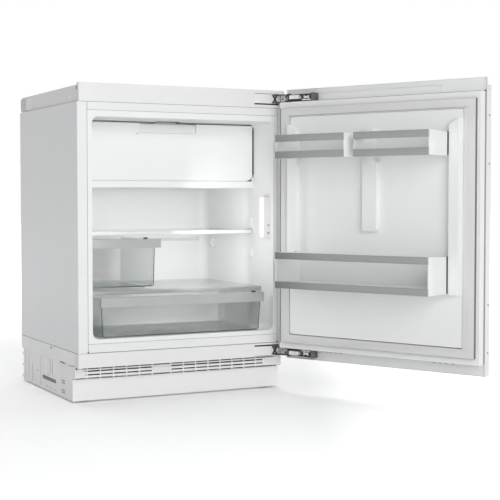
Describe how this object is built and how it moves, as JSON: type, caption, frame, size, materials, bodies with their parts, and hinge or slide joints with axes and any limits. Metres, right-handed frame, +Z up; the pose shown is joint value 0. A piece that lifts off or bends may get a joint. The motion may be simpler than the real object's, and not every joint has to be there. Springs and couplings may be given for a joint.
{
  "type": "built-in refrigerator",
  "caption": "Built-under refrigerator with an open door, door racks, a freezing compartment behind a flap, glass shelves, a drawer and a box.",
  "frame": {"origin": "on the floor, under the middle of the cabinet's front plane", "axes": "+X to the right seen from the front, +Y to the back, +Z up"},
  "size_m": [0.8586, 1.0834, 0.82],
  "materials": {
    "white_steel": "satin",
    "white_plastic": "satin",
    "white_liner": "gloss",
    "zinc_steel": "satin",
    "black_steel": "satin",
    "copper": "satin",
    "black_rubber": "matte",
    "grey_seal": "matte",
    "foam": "matte",
    "shelf_glass": "polished",
    "clear_plastic": "gloss",
    "trim_plastic": "satin",
    "aluminium": "satin",
    "grey_plastic": "satin",
    "black_plastic": "satin"
  },
  "bodies": {
    "cabinet": {"side_panels": "white_steel", "inner_liner": "white_liner", "insulation_foam": "foam", "bay_cover": "zinc_steel", "back_panel": "zinc_steel", "top_frame": "white_plastic", "top_fascia": "white_plastic", "wall_bracket": "zinc_steel", "front_rails": "white_steel", "base_front_rail": "white_plastic", "vent_grille": "white_plastic", "plinth_panel": "white_plastic", "base_side_right": "white_plastic", "base_side_left": "white_plastic", "base_plate": "zinc_steel", "base_rear_beam": "black_plastic", "rear_feet": "grey_plastic", "compressor": "black_steel", "compressor_mounts": "black_rubber", "evaporation_tray": "black_plastic", "condenser": "black_steel", "refrigerant_pipes": "copper", "freezer_deck": "white_liner", "freezer_frame": "white_liner", "freezer_box": "white_liner", "evaporator": "aluminium", "control_housing": "white_plastic", "lower_shelf_glass": "shelf_glass", "lower_shelf_trim": "trim_plastic", "hinge_housings": "white_plastic", "hinge_brackets": "zinc_steel", "hinge_pins": "black_steel"},
    "foot_left": {"foot_left": "grey_plastic"},
    "foot_right": {"foot_right": "grey_plastic"},
    "flap": {"flap_shell": "white_liner", "flap_inner": "white_liner", "flap_gasket": "grey_seal"},
    "temperature_button": {"temperature_button": "grey_plastic"},
    "cooling_button": {"cooling_button": "grey_plastic"},
    "upper_shelf": {"upper_shelf_glass": "shelf_glass", "upper_shelf_trim": "trim_plastic"},
    "drawer": {"drawer_tub": "clear_plastic", "drawer_trim": "trim_plastic"},
    "drawer_slider": {"drawer_slider": "black_plastic"},
    "box": {"box_tub": "clear_plastic", "box_trim": "trim_plastic"},
    "box_slider": {"box_slider": "black_plastic"},
    "door": {"door_outer_panel": "white_steel", "door_liner": "white_liner", "door_foam": "foam", "door_gasket": "grey_seal", "door_fixing_rails": "white_steel", "hinge_arms": "zinc_steel", "hinge_trims": "white_plastic"},
    "lower_rack": {"lower_rack_tray": "white_liner", "lower_rack_front": "aluminium"},
    "hinge_side_rack": {"hinge_side_rack_tray": "white_liner", "hinge_side_rack_front": "aluminium"},
    "free_side_rack": {"free_side_rack_tray": "white_liner", "free_side_rack_front": "aluminium"}
  },
  "joints": [
    {"name": "door_hinge", "type": "hinge", "parent": "cabinet", "child": "door", "pos_m": [0.288, -0.04, 0.4535], "axis": [0, 0, 1], "range_deg": [-115, 0]},
    {"name": "lower_rack_lift", "type": "slide", "parent": "door", "child": "lower_rack", "axis": [0, 0, 1], "range_m": [0, 0.02]},
    {"name": "hinge_side_rack_lift", "type": "slide", "parent": "door", "child": "hinge_side_rack", "axis": [0, 0, 1], "range_m": [0, 0.02]},
    {"name": "free_side_rack_lift", "type": "slide", "parent": "door", "child": "free_side_rack", "axis": [0, 0, 1], "range_m": [0, 0.02]},
    {"name": "flap_hinge", "type": "hinge", "parent": "cabinet", "child": "flap", "pos_m": [0, 0.1212, 0.582], "axis": [1, 0, 0], "range_deg": [0, 90]},
    {"name": "upper_shelf_slide", "type": "slide", "parent": "cabinet", "child": "upper_shelf", "axis": [0, -1, 0], "range_m": [0, 0.055]},
    {"name": "drawer_slide", "type": "slide", "parent": "cabinet", "child": "drawer", "axis": [0, -1, 0], "range_m": [0, 0.28]},
    {"name": "drawer_slider_slide", "type": "slide", "parent": "drawer", "child": "drawer_slider", "axis": [-1, 0, 0], "range_m": [0, 0.02]},
    {"name": "box_slide", "type": "slide", "parent": "cabinet", "child": "box", "axis": [0, -1, 0], "range_m": [0, 0.25]},
    {"name": "box_slider_slide", "type": "slide", "parent": "box", "child": "box_slider", "axis": [-1, 0, 0], "range_m": [0, 0.02]},
    {"name": "temperature_button_press", "type": "slide", "parent": "cabinet", "child": "temperature_button", "axis": [0, 1, 0], "range_m": [0, 0.001], "stiffness_N_per_m": 400},
    {"name": "cooling_button_press", "type": "slide", "parent": "cabinet", "child": "cooling_button", "axis": [0, 1, 0], "range_m": [0, 0.001], "stiffness_N_per_m": 400},
    {"name": "left_foot_height", "type": "slide", "parent": "cabinet", "child": "foot_left", "axis": [0, 0, -1], "range_m": [0, 0.025]},
    {"name": "right_foot_height", "type": "slide", "parent": "cabinet", "child": "foot_right", "axis": [0, 0, -1], "range_m": [0, 0.025]}
  ]
}
